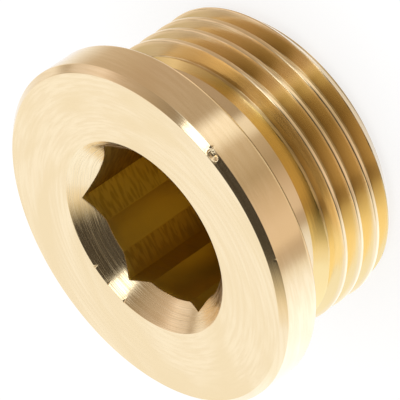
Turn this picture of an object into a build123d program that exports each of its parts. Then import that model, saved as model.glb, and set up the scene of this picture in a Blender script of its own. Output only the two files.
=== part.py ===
"""Screw plug with collar and hexagon socket, turned in one piece from brass bar.

The plug stands on its thread end, collar up.  The Z axis is its turning axis, z = 0 is the end face of
the thread, and all sizes are in millimetres.
"""
from build123d import *
from math import cos, radians, tan
import os

# Collar
collar_diameter = 39.0
collar_thickness = 5.0
collar_front_chamfer = 0.7
collar_back_chamfer = 0.35

# Shank and its parallel pipe thread, Whitworth form, right hand
shank_length = 15.0
thread_diameter = 33.249
threads_per_inch = 11.0
thread_angle = 55.0
thread_start_angle = 262.0
end_chamfer_angle = 45.0
end_chamfer_below_root = 0.25

# Relief groove between thread and collar
relief_width = 4.2
relief_below_root = 0.35
relief_corner_bevel = 0.8
relief_flank_angle = 45.0

# Hexagon socket, broached in a drilled hole
key_across_flats = 17.0
socket_depth = 13.0
drill_oversize = 0.35
drill_runs_past_key = 0.6
drill_point_angle = 140.0
countersink_angle = 90.0
countersink_margin = 1.25

# Whitworth form: a sharp triangle with a sixth of its height cut off at crest and root
INCH = 25.4
CUT_OFF_SHARE = 1 / 6

pitch = INCH / threads_per_inch
half_angle = radians(thread_angle / 2)
sharp_height = pitch / (2 * tan(half_angle))
thread_radius = thread_diameter / 2
root_radius = thread_radius - sharp_height * (1 - 2 * CUT_OFF_SHARE)
sharp_tip_radius = thread_radius + sharp_height * CUT_OFF_SHARE

collar_radius = collar_diameter / 2
total_length = shank_length + collar_thickness
relief_radius = root_radius - relief_below_root
relief_start = shank_length - relief_width
corner_radius = key_across_flats / 2 / cos(radians(30))
countersink_radius = corner_radius + countersink_margin
drill_radius = (key_across_flats + drill_oversize) / 2


def turned(*points):
    """The ring or disc that a closed outline of (radius, z) points sweeps round the Z axis."""
    return revolve(Plane.XZ * make_face(Polyline(*points, close=True)), Axis.Z)


def collar():
    """The collar, with a bevel at the front edge and a broken edge at the back."""
    back = shank_length
    return turned(
        (0, back),
        (collar_radius - collar_back_chamfer, back),
        (collar_radius, back + collar_back_chamfer),
        (collar_radius, total_length - collar_front_chamfer),
        (collar_radius - collar_front_chamfer, total_length),
        (0, total_length),
    )


def thread_groove():
    """The helical V groove with a flat root, from below the end face to the middle of the relief groove."""
    outer = (thread_radius + sharp_tip_radius) / 2
    outer_half_width = pitch / 2 - (sharp_tip_radius - outer) * tan(half_angle)
    root_half_width = outer_half_width - (outer - root_radius) * tan(half_angle)
    section = Polyline(
        (root_radius, -root_half_width),
        (outer, -outer_half_width),
        (outer, outer_half_width),
        (root_radius, root_half_width),
        close=True,
    )
    start = -pitch
    travel = relief_start + relief_width / 2 - start
    path = Helix(pitch, travel, root_radius)
    groove = sweep(-Plane.XZ * make_face(section), path, is_frenet=True)
    return Pos(0, 0, start) * Rot(0, 0, thread_start_angle) * groove


def end_bevel():
    """What the lead-in chamfer takes off the thread at its end."""
    inner = root_radius - end_chamfer_below_root
    outer = sharp_tip_radius
    rise = (outer - inner) / tan(radians(end_chamfer_angle))
    return turned((inner, 0), (outer, 0), (outer, rise))


def relief_groove():
    """The turned groove into which the thread runs out, with a bevelled corner at the collar."""
    outer = sharp_tip_radius
    flank_run = (outer - relief_radius) / tan(radians(relief_flank_angle))
    return turned(
        (relief_radius + relief_corner_bevel, shank_length),
        (outer, shank_length),
        (outer, relief_start - flank_run),
        (relief_radius, relief_start),
        (relief_radius, shank_length - relief_corner_bevel),
    )


def threaded_shank():
    """The shank from its end face to the back of the collar."""
    blank = Cylinder(thread_radius, shank_length, align=(Align.CENTER, Align.CENTER, Align.MIN))
    return blank - thread_groove() - end_bevel() - relief_groove()


def hexagon_socket():
    """The drilled and countersunk hole with the hexagon broached into it, open at the front face."""
    drill_depth = socket_depth + drill_runs_past_key
    point_height = drill_radius / tan(radians(drill_point_angle / 2))
    countersink_depth = countersink_radius / tan(radians(countersink_angle / 2))
    drilled = turned(
        (0, total_length),
        (drill_radius, total_length),
        (drill_radius, total_length - drill_depth),
        (0, total_length - drill_depth - point_height),
    )
    countersunk = turned(
        (0, total_length),
        (countersink_radius, total_length),
        (0, total_length - countersink_depth),
    )
    key = RegularPolygon(corner_radius, 6)
    broached = extrude(Pos(0, 0, total_length) * key, -socket_depth)
    return broached + drilled + countersunk


plug_body = collar() + threaded_shank() - hexagon_socket()

os.makedirs("parts", exist_ok=True)
export_step(plug_body, "parts/plug_body.step")
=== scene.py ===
"""Looks of the brass pipe plug: one turned piece with a rounded thread, on a plain white floor."""
from math import cos, pi, radians, sin, tan

import bpy
import numpy as np
from mathutils import Matrix, Vector


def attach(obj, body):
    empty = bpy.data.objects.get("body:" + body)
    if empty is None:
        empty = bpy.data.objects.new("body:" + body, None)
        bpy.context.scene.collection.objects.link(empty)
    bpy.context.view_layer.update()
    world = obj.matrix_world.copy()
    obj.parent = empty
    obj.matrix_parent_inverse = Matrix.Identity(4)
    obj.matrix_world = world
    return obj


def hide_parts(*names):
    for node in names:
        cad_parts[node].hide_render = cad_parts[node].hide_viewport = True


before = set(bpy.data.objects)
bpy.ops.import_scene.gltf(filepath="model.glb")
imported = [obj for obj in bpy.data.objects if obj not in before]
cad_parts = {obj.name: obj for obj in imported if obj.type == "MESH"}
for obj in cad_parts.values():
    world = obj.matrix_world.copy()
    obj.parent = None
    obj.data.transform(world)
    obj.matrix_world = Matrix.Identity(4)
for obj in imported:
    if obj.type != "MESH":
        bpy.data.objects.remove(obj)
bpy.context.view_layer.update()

MM = 0.001
INCH = 25.4
FULL_TURN = 2 * pi

# Sizes in millimetres and angles, the same as in the CAD part
COLLAR_R = 19.5
COLLAR_BACK = 15.0
TOP = 20.0
FRONT_CHAMFER = 0.7
BACK_CHAMFER = 0.35
THREADS_PER_INCH = 11
THREAD_START = 262
PITCH = INCH / THREADS_PER_INCH
HALF_ANGLE = radians(27.5)
CREST_R = 33.249 / 2
SHARP_HEIGHT = PITCH / (2 * tan(HALF_ANGLE))
ROOT_R = CREST_R - SHARP_HEIGHT * 2 / 3
GROOVE_HEIGHT = PITCH * (360 - THREAD_START) / 360
END_BELOW_ROOT = 0.25
END_R = ROOT_R - END_BELOW_ROOT
RELIEF_BELOW_ROOT = 0.35
RELIEF_R = ROOT_R - RELIEF_BELOW_ROOT
RELIEF_START = 10.8
RELIEF_BEVEL = 0.8
KEY_HALF = 8.5
KEY_CORNER = KEY_HALF / cos(radians(30))
KEY_FLOOR = 7.0
DRILL_R = 8.675
DRILL_FLOOR = 6.4
DRILL_POINT_HALF_ANGLE = radians(70)
DRILL_TIP = DRILL_FLOOR - DRILL_R / tan(DRILL_POINT_HALF_ANGLE)
COUNTERSINK_MARGIN = 1.25
COUNTERSINK_R = KEY_CORNER + COUNTERSINK_MARGIN

# Rounded edges, in millimetres
CREST_ROUNDING = 0.18
ROOT_BLEND = 0.06
END_BLEND = 0.05
RIDGE_BLEND = 0.10
END_EDGE_ROUNDING = 0.12
RELIEF_FILLET = 0.5
BEVEL_FILLET = 0.3
BACK_ROUNDING = 0.5
FRONT_EDGE_ROUNDING = 0.08
FACE_EDGE_ROUNDING = 0.07
MOUTH_ROUNDING = 0.06
SOCKET_EDGE = 0.05

# Points of the socket's broken edge, out and up from its sharp corner, in shares of its width
BROKEN_EDGE = [(0.3, 0.2), (0.0, -0.5)]

# Half of the flat that the rounding leaves on a crest
CREST_FLAT = PITCH / 12 - CREST_ROUNDING * tan((pi / 2 - HALF_ANGLE) / 2)

# The hexagon is broached a little beside the turning axis, along +X, and a little turned
HEXAGON_SHIFT = 0.33
HEXAGON_TURN = radians(1.34)

# Nicks and chips: azimuth in degrees, radius, height, depth, size, and how they push the metal (out, up)
FRONT_EDGE = TOP - FRONT_CHAMFER
NICKS_ABOVE = 17.0
NICKS = [
    (-66.0, 19.45, FRONT_EDGE, 0.09, 0.16, (-1, 0)),
    (-104.6, 19.45, FRONT_EDGE, 0.05, 0.14, (-1, 0)),
    (76.9, 17.65, TOP, 0.04, 0.12, (0, -1)),
    (101.2, 11.03, TOP, 0.09, 0.13, (1, -1)),
    (112.9, 11.03, TOP, 0.07, 0.10, (1, -1)),
    (125.8, 11.03, TOP, 0.09, 0.13, (1, -1)),
]

# Crushed spot on the front chamfer: a pit with a raised lip, so many degrees along and chamfer widths across
DENT_AZIMUTH = -68.2
DENT_DEGREES = 1.7
DENT_ACROSS = 0.62
DENT_SKIN = 0.2
LIP_HEIGHT = 0.06
LIP_AWAY = 1.1
LIP_WIDTH = 0.28
PIT_DEPTH = 0.13
PIT_WIDTH = 0.75

# Columns of the mesh; at a nick they reach as far as so many of its sizes, at the dent so many degrees
COLUMNS_BY_BAND = 13
COLUMNS_ON_FLAT = 39
COLUMNS_AT_NICK = 9
NICK_REACH = 1.6
DENT_REACH = 3.4
DENT_STEP = 0.2
ANGLE_DIGITS = 6
NUDGE = 1e-5
BAND_TOLERANCE = 1e-4

# Rows of the mesh; one row of the thread lies on the corner where the relief groove starts
END_FACE_RINGS = (4.0, 8.0, 11.0, 13.5, 14.5)
END_SUPPORT = 0.1
THREAD_ROWS = np.arange(0.24, 11.31, 0.06)
FACE_RINGS = (17.9, 17.75, 17.65, 17.55, 17.4, COUNTERSINK_R + 0.5, COUNTERSINK_R + 0.3)
EDGE_ZONE = 0.6
EDGE_STEP = 0.12
PLAIN_STEP = 1.3
SLACK = 0.01
CONE_ROWS = 8
WALL_ROWS = 11
BORE_GAP = 0.003
DRILL_POINT_ROWS = (0.3, 0.6, 0.85)
NORMAL_STEP = 0.004
SHARP_ANGLE = radians(40)


def smooth_min(a, b, width):
    """The lower of two heights, with the edge between them rounded over that width."""
    return np.minimum(a, b) - np.maximum(width - np.abs(a - b), 0) ** 2 / (4 * width)


def thread_radius(z, azimuth):
    """Radius of the thread, with rounded edges at its narrow crests and a flat root."""
    x = np.abs((z - GROOVE_HEIGHT - PITCH * azimuth / FULL_TURN + PITCH / 2) % PITCH - PITCH / 2)
    beyond = np.maximum(PITCH / 2 - x - CREST_FLAT, 0)
    reach = CREST_ROUNDING * cos(HALF_ANGLE)
    crest = CREST_R - CREST_ROUNDING + np.sqrt(CREST_ROUNDING ** 2 - np.minimum(beyond, reach) ** 2)
    flank = CREST_R - CREST_ROUNDING * (1 - sin(HALF_ANGLE)) - (beyond - reach) / tan(HALF_ANGLE)
    flank = -smooth_min(-flank, np.full_like(flank, -ROOT_R), ROOT_BLEND)
    return np.where(beyond < reach, crest, flank)


def shank_radius(z, azimuth):
    """Radius of the shank: the thread between its end chamfer and the relief groove."""
    end_chamfer = END_R + z
    relief = np.maximum(RELIEF_R + RELIEF_START - z, RELIEF_R)
    ends = smooth_min(end_chamfer, relief, END_BLEND)
    return smooth_min(thread_radius(z, azimuth), ends, RIDGE_BLEND)


def rounded(corners, steps=4, support=0.12):
    """Points along a profile of (radius, height, rounding) corners, with a point close to each bend."""
    points = []
    for k, (r, z, rounding) in enumerate(corners):
        here = complex(r, z)
        if not rounding:
            points.append(here)
            continue
        before, after = complex(*corners[k - 1][:2]), complex(*corners[k + 1][:2])
        back, on = (before - here) / abs(before - here), (after - here) / abs(after - here)
        bend = pi - abs(np.angle(back / on))
        reach = rounding * tan(bend / 2)
        start, end = here + back * reach, here + on * reach
        points.append(start + back * support)
        for s in np.linspace(0, 1, steps + 1):
            points.append((1 - s) ** 2 * start + 2 * s * (1 - s) * here + s ** 2 * end)
        points.append(end + on * support)
    return points


def hexagon():
    """Azimuths of the hexagon's corners and flats, and how far each flat lies from the turning axis."""
    turn = HEXAGON_TURN + radians(60) * np.arange(7)
    corners = np.unwrap(np.arctan2(KEY_CORNER * np.sin(turn), HEXAGON_SHIFT + KEY_CORNER * np.cos(turn)))
    flats = turn[:-1] + radians(30)
    return corners, flats, KEY_HALF + HEXAGON_SHIFT * np.cos(flats)


def column_angles():
    """Azimuths of the columns: exact at the hexagon's corners and drill bands, close at the nicks."""
    angles = []
    for start, end, flat, band in zip(corner_azimuth, corner_azimuth[1:], flat_azimuth, band_reach):
        stops = [start, flat - band, flat + band, end] if band else [start, end]
        count = COLUMNS_BY_BAND if band else COLUMNS_ON_FLAT
        for low, high in zip(stops, stops[1:]):
            angles.append(np.linspace(low, high, count, endpoint=False))
    dent = np.arange(DENT_AZIMUTH - DENT_REACH, DENT_AZIMUTH + DENT_REACH, DENT_STEP)
    angles.append(np.radians(dent))
    for middle, radius, _, _, size, _ in NICKS:
        reach = np.degrees(NICK_REACH * size / radius)
        angles.append(np.radians(np.linspace(middle - reach, middle + reach, COLUMNS_AT_NICK)))
    return np.unique(np.round(np.concatenate(angles) % FULL_TURN, ANGLE_DIGITS))


corner_azimuth, flat_azimuth, flat_distance = hexagon()
band_reach = np.arccos(np.minimum(flat_distance / DRILL_R, 1))
azimuth = column_angles()
ones = np.ones_like(azimuth)

# A column on a corner counts to the flat that starts there
turned_on = (azimuth - corner_azimuth[0] + NUDGE) % FULL_TURN + corner_azimuth[0]
flat_of = np.searchsorted(corner_azimuth, turned_on, side="right") - 1
from_flat = turned_on - NUDGE - flat_azimuth[flat_of]
wall_r = np.maximum(flat_distance[flat_of] / np.cos(from_flat), DRILL_R)
wall_top = TOP - (COUNTERSINK_R - wall_r)

rows = []


def ring(r, z):
    """Adds one row of the mesh, all round or with a value for each column."""
    rows.append((r * ones, z * ones))


# End face and its edge
for r in END_FACE_RINGS:
    ring(r, 0.0)
end_edge = rounded([(0, 0, 0), (END_R, 0, END_EDGE_ROUNDING), (END_R + 1, 1, 0)], support=END_SUPPORT)
for p in end_edge[1:-1]:
    ring(p.real, p.imag)

# Thread and its run-out
first_thread_row = len(rows)
for z in THREAD_ROWS:
    ring(shank_radius(z * ones, azimuth), z)
last_thread_row = len(rows) - 1

# Relief groove, collar and front face
upper = rounded([
    (RELIEF_R, THREAD_ROWS[-1], 0),
    (RELIEF_R, COLLAR_BACK - RELIEF_BEVEL, RELIEF_FILLET),
    (RELIEF_R + RELIEF_BEVEL, COLLAR_BACK, BEVEL_FILLET),
    (COLLAR_R - BACK_CHAMFER, COLLAR_BACK, BACK_ROUNDING),
    (COLLAR_R, COLLAR_BACK + BACK_CHAMFER, BACK_ROUNDING),
    (COLLAR_R, FRONT_EDGE - EDGE_ZONE, 0),
    (COLLAR_R, FRONT_EDGE, FRONT_EDGE_ROUNDING),
    (COLLAR_R - FRONT_CHAMFER, TOP, FACE_EDGE_ROUNDING),
    *[(r, TOP, 0) for r in FACE_RINGS],
    (COUNTERSINK_R, TOP, MOUTH_ROUNDING),
    (COUNTERSINK_R - 1, TOP - 1, 0),
])
for a, b in zip(upper[1:-1], upper[2:]):
    by_edge = b.real > COLLAR_R - FRONT_CHAMFER - SLACK and a.imag > FRONT_EDGE - EDGE_ZONE - SLACK
    count = 1 + int(abs(b - a) / (EDGE_STEP if by_edge else PLAIN_STEP))
    for s in np.arange(count) / count:
        ring((a + (b - a) * s).real, (a + (b - a) * s).imag)

# Countersink, and its broken edge to the socket
mouth_r = rows[-1][0][0]
for s in np.linspace(0, 1, CONE_ROWS + 1)[1:]:
    r = mouth_r + (wall_r + SOCKET_EDGE - mouth_r) * s
    ring(r, TOP - (COUNTERSINK_R - r))
for out, up in BROKEN_EDGE:
    ring(wall_r + out * SOCKET_EDGE, wall_top + up * SOCKET_EDGE)

# Walls of the hexagon and the drilled hole below them
first_wall_row = len(rows) - 1
for s in np.linspace(0, 1, WALL_ROWS + 1)[1:]:
    ring(wall_r, wall_top - SOCKET_EDGE + (KEY_FLOOR - wall_top + SOCKET_EDGE) * s)
last_wall_row = len(rows) - 1
bore_r = DRILL_R - BORE_GAP
ring(bore_r, KEY_FLOOR)
ring(bore_r, DRILL_FLOOR)
for s in DRILL_POINT_ROWS:
    ring(bore_r * (1 - s), DRILL_FLOOR + (DRILL_TIP - DRILL_FLOOR) * s)

R = np.array([r for r, z in rows])
Z = np.array([z for r, z in rows])


def degrees_from(middle):
    """How far each column is from an azimuth, in degrees."""
    return (np.degrees(azimuth) - middle + 180) % 360 - 180


def press_nicks():
    """Small dents in the edges and a crushed spot with a raised lip on the front chamfer."""
    on_collar = Z > NICKS_ABOVE
    for middle, radius, height, depth, size, (out, up) in NICKS:
        along = np.radians(degrees_from(middle)) * radius
        distance_squared = along ** 2 + (R - radius) ** 2 + (Z - height) ** 2
        spot = np.exp(-distance_squared / (size ** 2 / 2)) * depth * on_collar
        R[:] += spot * out
        Z[:] += spot * up
    across = (R - Z - (COLLAR_R - FRONT_CHAMFER / 2) + (TOP - FRONT_CHAMFER / 2)) / FRONT_CHAMFER
    lift = R + Z - (COLLAR_R - FRONT_CHAMFER + TOP)
    away = np.hypot(degrees_from(DENT_AZIMUTH) / DENT_DEGREES, across / DENT_ACROSS)
    lip = LIP_HEIGHT * np.exp(-((away - LIP_AWAY) / LIP_WIDTH) ** 2)
    pit = PIT_DEPTH * np.exp(-(away / PIT_WIDTH) ** 2)
    crushed = (lip - pit) * (np.abs(lift) < DENT_SKIN) * on_collar
    R[:] = np.minimum(R + crushed, COLLAR_R)
    Z[:] = np.minimum(Z + crushed, TOP)


press_nicks()

# Rows joined by quads, and closed by a fan at the end face and one at the drill's tip
columns = R.shape[1]
points = np.stack([R * np.cos(azimuth), R * np.sin(azimuth), Z], axis=2).reshape(-1, 3)
points = np.concatenate([points, [[0, 0, 0], [0, 0, DRILL_TIP]]])
grid = np.arange(R.size).reshape(R.shape)
beside = np.roll(grid, -1, axis=1)
quads = np.stack([grid[:-1], beside[:-1], beside[1:], grid[1:]], axis=2).reshape(-1, 4)
bottom = np.stack([np.full(columns, R.size), beside[0], grid[0]], axis=1)
tip = np.stack([grid[-1], beside[-1], np.full(columns, R.size + 1)], axis=1)

mesh = bpy.data.meshes.new("plug_skin")
mesh.from_pydata((points * MM).tolist(), [], quads.tolist() + bottom.tolist() + tip.tolist())
mesh.shade_smooth()
mesh.set_sharp_from_angle(angle=SHARP_ANGLE)
plug = bpy.data.objects.new("plug_skin", mesh)
bpy.context.scene.collection.objects.link(plug)


def sharpen_bands():
    """Keeps the edges of the smooth drill bands on the hexagon's flats crisp."""
    reach = band_reach[flat_of]
    band_edge = np.isclose(np.abs(from_flat), reach, atol=BAND_TOLERANCE) & (reach > 0)
    ends = np.empty(len(mesh.edges) * 2, dtype=int)
    mesh.edges.foreach_get("vertices", ends)
    ends = ends.reshape(-1, 2)
    row_of, column_of = ends // columns, ends % columns
    on_wall = (row_of >= first_wall_row) & (row_of <= last_wall_row)
    on_band = (on_wall & band_edge[column_of]).all(axis=1) & (column_of[:, 0] == column_of[:, 1])
    for k in np.nonzero(on_band)[0]:
        mesh.edges[int(k)].use_edge_sharp = True


def thread_normals():
    """Exact normals of the thread's rows; zero elsewhere and on the relief corner keeps the mesh's own."""
    rows_here = slice(first_thread_row, last_thread_row + 1)
    r, z = R[rows_here], Z[rows_here]
    h = NORMAL_STEP
    up = (shank_radius(z + h, azimuth) - shank_radius(z - h, azimuth)) / (2 * h)
    along = (shank_radius(z, azimuth + h / r) - shank_radius(z, azimuth - h / r)) / (2 * h)
    c, s = np.cos(azimuth), np.sin(azimuth)
    way = np.stack([c + along * s, s - along * c, -up], axis=2)
    way /= np.linalg.norm(way, axis=2, keepdims=True)
    off_corner = np.abs(z - RELIEF_START) > SLACK
    normals = np.zeros((*R.shape, 3))
    normals[rows_here] = way * off_corner[:, :, None]
    return np.concatenate([normals.reshape(-1, 3), np.zeros((2, 3))])


sharpen_bands()
corner_point = np.empty(len(mesh.loops), dtype=int)
mesh.loops.foreach_get("vertex_index", corner_point)
mesh.normals_split_custom_set(thread_normals()[corner_point].tolist())

# Sockets of a Mix node that mixes colours
MIX_FACTOR, MIX_A, MIX_B, MIX_RESULT = 0, 6, 7, 2


class Tree:
    """Short calls to build a node tree."""

    def __init__(self, owner):
        owner.use_nodes = True
        self.tree = owner.node_tree
        self.tree.nodes.clear()

    def add(self, kind, *inputs, **settings):
        """A node with its first inputs set or linked, and its named settings."""
        node = self.tree.nodes.new("ShaderNode" + kind)
        for name, value in settings.items():
            setattr(node, name, value)
        for socket, value in zip(node.inputs, inputs):
            self.put(socket, value)
        return node

    def put(self, socket, value):
        """Links an output to a socket, or sets a plain value on it."""
        if isinstance(value, bpy.types.NodeSocket):
            self.tree.links.new(value, socket)
        else:
            socket.default_value = value

    def math(self, operation, *inputs):
        return self.add("Math", *inputs, operation=operation).outputs[0]

    def both(self, a, b):
        return self.math("MULTIPLY", a, b)

    def under(self, value, limit):
        return self.math("LESS_THAN", value, limit)

    def over(self, value, limit):
        return self.math("GREATER_THAN", value, limit)

    def remap(self, value, low, high, to_low=0.0, to_high=1.0):
        """A smooth step from one value to another, between low and high."""
        node = self.add("MapRange", value, low, high, to_low, to_high, interpolation_type="SMOOTHSTEP")
        return node.outputs[0]

    def mix(self, factor, a, b):
        node = self.add("Mix", data_type="RGBA")
        self.put(node.inputs[MIX_FACTOR], factor)
        self.put(node.inputs[MIX_A], a)
        self.put(node.inputs[MIX_B], b)
        return node.outputs[MIX_RESULT]

    def noise(self, place, detail):
        node = self.add("TexNoise", place)
        node.inputs["Scale"].default_value = 1.0
        node.inputs["Detail"].default_value = detail
        return node.outputs["Fac"]

    def round_axis(self, x, y, stops):
        """Colours that change with the azimuth of a direction: (degrees, colour) stops from -180 to 180."""
        turn = self.math("DIVIDE", self.math("ADD", self.math("ARCTAN2", y, x), pi), FULL_TURN)
        node = self.add("ValToRGB", turn)
        elements = node.color_ramp.elements
        elements.remove(elements[1])
        for k, (angle, colour) in enumerate(stops):
            place = (angle + 180) / 360
            element = elements[0] if k == 0 else elements.new(place)
            element.position = place
            element.color = (*colour, 1)
        return node.outputs[0]


def greys(stops):
    """The same stops, with each share as a grey."""
    return [(angle, (share, share, share)) for angle, share in stops]


# Colours of the brass
TURNED = (0.93, 0.765, 0.49, 1)
TURNED_LIGHT = (0.98, 0.825, 0.55, 1)
TURNED_DEEP = (0.915, 0.745, 0.46, 1)
# A darker copy of the turned brass for the relief groove: painted shade under the collar
RELIEF_SHADED = (0.83, 0.675, 0.43, 1)
# Lit and shaded copies of the groove and flank brass: the shaded ones are painted shade
GROOVE_LIT = (0.93, 0.74, 0.39, 1)
GROOVE_PALE = (0.93, 0.755, 0.46, 1)
GROOVE_SHADED = (0.72, 0.57, 0.29, 1)
# Painted shade at the root of the grooves
ROOT_SHADED = (0.59, 0.455, 0.225, 1)
FLANK_LIT = (0.96, 0.76, 0.37, 1)
FLANK_SHADED = (0.66, 0.49, 0.165, 1)
# The socket's brass is darkened as painted shade in the recess, darker still on the flat towards -X; the
# strokes are broach marks
SOCKET_SHADED = (0.70, 0.525, 0.12, 1)
SOCKET_SHADED_FLAT = (0.56, 0.40, 0.06, 1)
STROKE = (0.54, 0.385, 0.075, 1)

# Painted shade in the grooves of the thread round the axis, 1 fully shaded and 0 lit, with a painted
# highlight patch near -55 degrees
GROOVE_PAINTED_SHADE = [
    (-180, 0), (-124, 0), (-106, 1), (-63, 1), (-57, 0), (-54, 0), (-48, 1), (-44, 1), (-30, 0.3), (-12, 0.3),
    (4, 1), (70, 1), (85, 0), (180, 0),
]

# Tool marks: how many rings or strokes per metre, how fast they change along the ring, and their detail
FINE_RINGS = (9000.0, 60.0, 2.0)
BROAD_RINGS = (2500.0, 300.0, 3.0)
WIDE_RINGS = (240.0, 110.0, 2.0)
CONE_RINGS = (15000.0, 250.0, 2.0)
STROKES_PER_METRE = (600.0, 600.0, 2800.0)
STROKE_DETAIL = 1.0

# Values of a tool mark's noise between which the tone or the roughness changes
FINE_SPAN = (0.3, 0.7)
BROAD_SPAN = (0.35, 0.65)
WIDE_SPAN = (0.35, 0.58)
CONE_SPAN = (0.35, 0.7)
STROKE_SPAN = (0.58, 0.38)

# Strength of the fine rings' bump and its height in metres, and how rough and how brushed the brass is
RING_BUMP = 0.06
RING_HEIGHT = 0.0001
TURNED_ROUGHNESS = (0.12, 0.18)
SOCKET_ROUGHNESS = 0.3
CONE_ROUGHNESS = 0.36
ANISOTROPY = 0.85
ANISOTROPY_TURN = 0.25

# Where the tones lie, in millimetres: the start and end of each blend, then limits and tolerances
MOUTH_BLEND = (0.03, 0.12)
GROOVE_BLEND = (16.5, 16.2)
ROOT_SHADE_SPAN = (16.3, 15.0)
PALE_SIDE = (-5, 5)
# Span of the painted shade on the socket's flat towards -X
SHADED_FLAT_SPAN = (-3.6, -4.9)
HOLE_R = 10
HOLE_ABOVE = 1
SHANK_OUTSIDE = 13.5
SHANK_BELOW = 14.8
CONE_ABOVE = 17
CONE_BELOW = 19.97
FLANK_SKIN = 0.04
BAND_SKIN = 0.02


def brass():
    """Turned brass: rings from the tool on every turned face and broach marks in the socket; painted shade in
    the grooves, on the relief groove and in the socket, and a painted highlight patch in the grooves.
    """
    material = bpy.data.materials.new("brass")
    t = Tree(material)
    place = t.add("TexCoord").outputs["Object"]
    x, y, z = t.add("SeparateXYZ", place).outputs
    radius = t.math("SQRT", t.math("ADD", t.math("POWER", x, 2.0), t.math("POWER", y, 2.0)))

    def rings(per_metre, drift, detail):
        """Noise that runs round the axis and changes slowly along its rings."""
        across = t.add("CombineXYZ", t.both(radius, per_metre), t.both(z, per_metre), 0.0)
        along = t.add("VectorMath", place, (drift, drift, drift), operation="MULTIPLY")
        spot = t.add("VectorMath", across.outputs[0], along.outputs[0], operation="ADD")
        return t.noise(spot.outputs[0], detail)

    def blend(value, span):
        """A smooth step over a span in millimetres."""
        return t.remap(value, span[0] * MM, span[1] * MM)

    # Places on the plug
    under_mouth = t.math("SUBTRACT", t.math("ADD", radius, (TOP - COUNTERSINK_R) * MM), z)
    in_hole = t.both(t.under(radius, HOLE_R * MM), t.over(z, HOLE_ABOVE * MM))
    in_socket = t.both(in_hole, blend(under_mouth, MOUTH_BLEND))
    on_cone = t.both(t.under(radius, COUNTERSINK_R * MM), t.under(z, CONE_BELOW * MM))
    on_cone = t.both(on_cone, t.over(z, CONE_ABOVE * MM))
    on_shank = t.both(t.over(radius, SHANK_OUTSIDE * MM), t.under(z, SHANK_BELOW * MM))
    in_relief = t.both(on_shank, t.over(z, RELIEF_START * MM))
    in_groove = t.both(on_shank, blend(radius, GROOVE_BLEND))
    in_groove = t.both(in_groove, t.under(z, RELIEF_START * MM))
    to_flank = (RELIEF_R + RELIEF_START) * MM
    on_flank = t.math("COMPARE", t.math("ADD", radius, z), to_flank, FLANK_SKIN * MM)

    # Turned faces
    fine, broad = rings(*FINE_RINGS), rings(*BROAD_RINGS)
    turned = t.mix(t.remap(broad, *BROAD_SPAN), TURNED, TURNED_LIGHT)
    turned = t.mix(t.remap(rings(*WIDE_RINGS), *WIDE_SPAN), TURNED_DEEP, turned)
    # Painted shade on the relief groove under the collar
    turned = t.mix(in_relief, turned, RELIEF_SHADED)

    # Grooves of the thread and the flank of the relief groove: lit and shaded copies of the brass, mixed by
    # the painted shade round the axis
    # Painted shade and a painted highlight patch round the axis
    shade_round_axis = t.round_axis(x, y, greys(GROOVE_PAINTED_SHADE))
    # Painted shade deeper in each groove, darkest at the root
    shaded = t.mix(blend(radius, ROOT_SHADE_SPAN), GROOVE_SHADED, ROOT_SHADED)
    lit = t.mix(blend(x, PALE_SIDE), GROOVE_LIT, GROOVE_PALE)
    groove = t.mix(shade_round_axis, lit, shaded)
    flank = t.mix(shade_round_axis, FLANK_LIT, FLANK_SHADED)
    groove = t.mix(on_flank, groove, flank)

    # Broached socket, with strokes beside the smooth drill bands, over painted shade that is darker on the
    # flat towards -X
    spot = t.add("VectorMath", place, STROKES_PER_METRE, operation="MULTIPLY")
    chatter = t.remap(t.noise(spot.outputs[0], STROKE_DETAIL), *STROKE_SPAN)
    strokes = t.both(chatter, t.over(radius, (DRILL_R + BAND_SKIN) * MM))
    shaded_flats = t.mix(blend(x, SHADED_FLAT_SPAN), SOCKET_SHADED, SOCKET_SHADED_FLAT)
    broached_and_shaded = t.mix(strokes, shaded_flats, STROKE)

    # Fine rings and roughness
    bump = t.add("Bump")
    bump.inputs["Strength"].default_value = RING_BUMP
    bump.inputs["Distance"].default_value = RING_HEIGHT
    t.put(bump.inputs["Height"], fine)
    streaks = t.both(on_cone, t.remap(rings(*CONE_RINGS), *CONE_SPAN))
    rough = t.remap(fine, *FINE_SPAN, *TURNED_ROUGHNESS)
    rough = t.math("MAXIMUM", rough, t.both(in_socket, SOCKET_ROUGHNESS))
    rough = t.math("MAXIMUM", rough, t.both(streaks, CONE_ROUGHNESS))

    colour = t.mix(in_groove, turned, groove)
    colour = t.mix(in_socket, colour, broached_and_shaded)
    shader = t.add("BsdfPrincipled")
    t.put(shader.inputs["Base Color"], colour)
    t.put(shader.inputs["Roughness"], rough)
    t.put(shader.inputs["Normal"], bump.outputs[0])
    t.put(shader.inputs["Tangent"], t.add("Tangent", direction_type="RADIAL", axis="Z").outputs[0])
    shader.inputs["Metallic"].default_value = 1.0
    shader.inputs["Anisotropic"].default_value = ANISOTROPY
    shader.inputs["Anisotropic Rotation"].default_value = ANISOTROPY_TURN
    t.add("OutputMaterial", shader.outputs[0])
    return material


plug.data.materials.append(brass())
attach(plug, "root")
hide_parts("plug_body")

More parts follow.
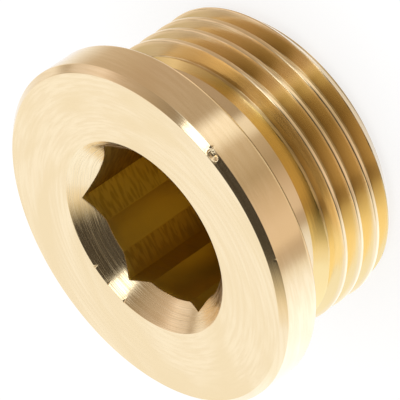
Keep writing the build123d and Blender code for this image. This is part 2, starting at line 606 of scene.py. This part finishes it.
# What the metal sees around it: azimuth in degrees from +X, and the panel's colour there
LOW_PANELS = [
    (-180, (1.2, 1.25, 1.4)), (-156, (1.05, 1.05, 1.1)), (-146, (0.92, 0.86, 0.80)),
    (-140, (0.60, 0.49, 0.40)), (-132, (0.60, 0.47, 0.38)), (-126, (0.84, 0.68, 0.56)),
    (-114, (0.82, 0.66, 0.55)), (-100, (0.68, 0.53, 0.41)), (-84, (0.48, 0.37, 0.26)),
    (-62, (0.62, 0.50, 0.38)), (-54, (0.99, 0.90, 0.81)), (-44, (1.06, 0.98, 0.92)),
    (-36.5, (0.48, 0.38, 0.29)), (10, (0.52, 0.40, 0.31)), (50, (0.62, 0.50, 0.39)),
    (72, (0.93, 0.88, 0.83)), (90, (1.02, 1.03, 1.10)), (150, (1.2, 1.3, 1.5)), (180, (1.2, 1.25, 1.4)),
]
HIGH_PANELS = [
    (-180, (0.95, 0.9, 0.85)), (-168, (0.9, 0.8, 0.65)), (-160, (0.60, 0.52, 0.38)),
    (-142, (0.06, 0.05, 0.04)), (-60, (0.05, 0.04, 0.03)), (-54, (0.25, 0.22, 0.18)),
    (-50, (0.9, 0.9, 0.9)), (-28, (0.9, 0.9, 0.9)), (-20, (0.30, 0.23, 0.17)), (-8, (0.36, 0.28, 0.20)),
    (5, (0.48, 0.38, 0.30)), (20, (0.55, 0.43, 0.34)), (28, (0.75, 0.61, 0.53)), (33, (0.94, 0.81, 0.75)),
    (50, (0.78, 0.68, 0.63)), (53, (0.45, 0.36, 0.29)), (57, (0.45, 0.36, 0.29)), (61, (0.76, 0.66, 0.58)),
    (80, (0.92, 0.85, 0.82)), (92, (1.0, 0.98, 0.99)), (130, (1.0, 1.01, 1.03)), (180, (1.0, 1.0, 1.05)),
]

# Colours straight below, round that and straight above, and of the plain white world
NADIR = (0.5, 0.42, 0.30, 1)
LOWEST_PANEL = (1.0, 0.85, 0.70, 1)
ZENITH = (0.26, 0.22, 0.165, 1)
WHITE = (1.0, 1.0, 1.0, 1)

# A light strip at the height of the plug, and how strong it is round the axis
STRIP = (1.05, 1.0, 0.98, 1)
STRIP_REACH = [(-180, 0), (12, 0), (30, 0.2), (42, 0.6), (50, 1), (60, 1), (72, 0), (180, 0)]

# Elevations in degrees between which one band of the studio passes into the next
LOWEST_FROM = (-70, -62)
LOW_FROM = (-60, -50)
HIGH_FROM = (-24, 38)
ZENITH_FROM = (64, 78)
STRIP_FROM = (-19, -7)
STRIP_TO = (12, 3)


def studio():
    """White world; metal sees it with the tan and dark panels of a studio around it."""
    world = bpy.data.worlds.new("studio")
    bpy.context.scene.world = world
    t = Tree(world)
    x, y, z = t.add("SeparateXYZ", t.add("TexCoord").outputs["Generated"]).outputs

    def height(span):
        """A smooth step between two elevations."""
        return t.remap(z, sin(radians(span[0])), sin(radians(span[1])))

    seen = t.mix(height(LOWEST_FROM), NADIR, LOWEST_PANEL)
    seen = t.mix(height(LOW_FROM), seen, t.round_axis(x, y, LOW_PANELS))
    seen = t.mix(height(HIGH_FROM), seen, t.round_axis(x, y, HIGH_PANELS))
    seen = t.mix(height(ZENITH_FROM), seen, ZENITH)
    level = t.both(height(STRIP_FROM), height(STRIP_TO))
    seen = t.mix(t.both(level, t.round_axis(x, y, greys(STRIP_REACH))), seen, STRIP)
    glossy = t.add("LightPath").outputs["Is Glossy Ray"]
    background = t.add("Background", t.mix(glossy, WHITE, seen), 1.0)
    t.add("OutputWorld", background.outputs[0])


# Floor: half its side and its drop below the plug in metres, its own colour and its white to the camera
FLOOR_HALF = 4.0
FLOOR_DROP = 0.00002
FLOOR_COLOUR = (0.3, 0.3, 0.3, 1)
FLOOR_WHITE = 0.75


def floor():
    """A plain white floor that keeps the plug's soft shadow."""
    mesh = bpy.data.meshes.new("floor")
    half = FLOOR_HALF
    corners = [(-half, -half, 0), (half, -half, 0), (half, half, 0), (-half, half, 0)]
    mesh.from_pydata(corners, [], [(0, 1, 2, 3)])
    plane = bpy.data.objects.new("floor", mesh)
    plane.location.z = -FLOOR_DROP
    bpy.context.scene.collection.objects.link(plane)
    material = bpy.data.materials.new("white_floor")
    t = Tree(material)
    camera_ray = t.add("LightPath").outputs["Is Camera Ray"]
    paper = t.add("BsdfDiffuse", FLOOR_COLOUR)
    glow = t.add("Emission", WHITE, t.both(camera_ray, FLOOR_WHITE))
    t.add("OutputMaterial", t.add("AddShader", paper.outputs[0], glow.outputs[0]).outputs[0])
    mesh.materials.append(material)
    plane.visible_glossy = False


def lamp(name, azimuth_deg, elevation, distance, size, power):
    """A square softbox that faces the plug's middle; distance and size in metres."""
    light = bpy.data.lights.new(name, "AREA")
    light.shape = "SQUARE"
    light.size = size
    light.energy = power
    holder = bpy.data.objects.new(name, light)
    a, e = radians(azimuth_deg), radians(elevation)
    back = Vector((cos(a) * cos(e), sin(a) * cos(e), sin(e)))
    holder.location = Vector((0, 0, TOP / 2 * MM)) + back * distance
    holder.rotation_mode = "QUATERNION"
    holder.rotation_quaternion = back.to_track_quat("Z", "Y")
    bpy.context.scene.collection.objects.link(holder)


def camera(target, azimuth_deg, elevation, roll, distance, lens):
    """The photograph's camera: azimuth 0 looks along +Y, the roll turns it; target and distance in mm."""
    data = bpy.data.cameras.new("camera")
    data.lens = lens
    data.sensor_width = 36.0
    holder = bpy.data.objects.new("camera", data)
    a, e, turn = radians(azimuth_deg), radians(elevation), radians(roll)
    back = Vector((sin(a) * cos(e), -cos(a) * cos(e), sin(e)))
    level = Vector((cos(a), sin(a), 0))
    right = level * cos(turn) + back.cross(level) * sin(turn)
    up = back.cross(right)
    basis = Matrix((right, up, back)).transposed().to_4x4()
    holder.matrix_world = Matrix.Translation(Vector(target) * MM + back * distance * MM) @ basis
    bpy.context.scene.collection.objects.link(holder)
    bpy.context.scene.camera = holder


studio()
floor()
lamp("softbox", azimuth_deg=-37, elevation=55, distance=0.5, size=0.12, power=0.07)
camera(
    target=(-0.056, -0.014, 11.93),
    azimuth_deg=13.598,
    elevation=32.028,
    roll=-124.529,
    distance=700.35,
    lens=623.5,
)

# Light is reflected many times between the flanks of the thread and in the socket
GLOSSY_BOUNCES = 10
bpy.context.scene.cycles.glossy_bounces = GLOSSY_BOUNCES
bpy.context.scene.view_settings.view_transform = "Standard"
